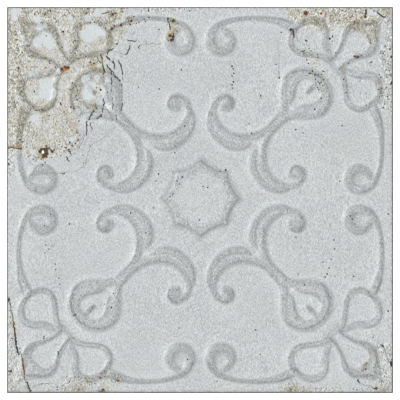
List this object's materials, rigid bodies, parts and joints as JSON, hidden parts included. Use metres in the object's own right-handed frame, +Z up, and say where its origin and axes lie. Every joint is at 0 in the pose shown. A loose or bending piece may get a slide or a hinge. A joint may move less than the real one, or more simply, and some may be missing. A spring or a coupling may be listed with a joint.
{
  "type": "embossed ceramic wall tile",
  "caption": "Square glazed ceramic wall tile with a moulded star, scroll and petal relief on its face, lying face up on its flat back.",
  "frame": {"origin": "under the middle of the tile, at the level of its flat back", "axes": "+Z up out of the embossed face, +X and +Y along the tile's edges, +Y towards the edge at the top of the picture"},
  "size_m": [0.2, 0.2, 0.0093],
  "materials": {
    "glaze": "satin"
  },
  "bodies": {
    "root": {"tile": "glaze"}
  },
  "joints": []
}
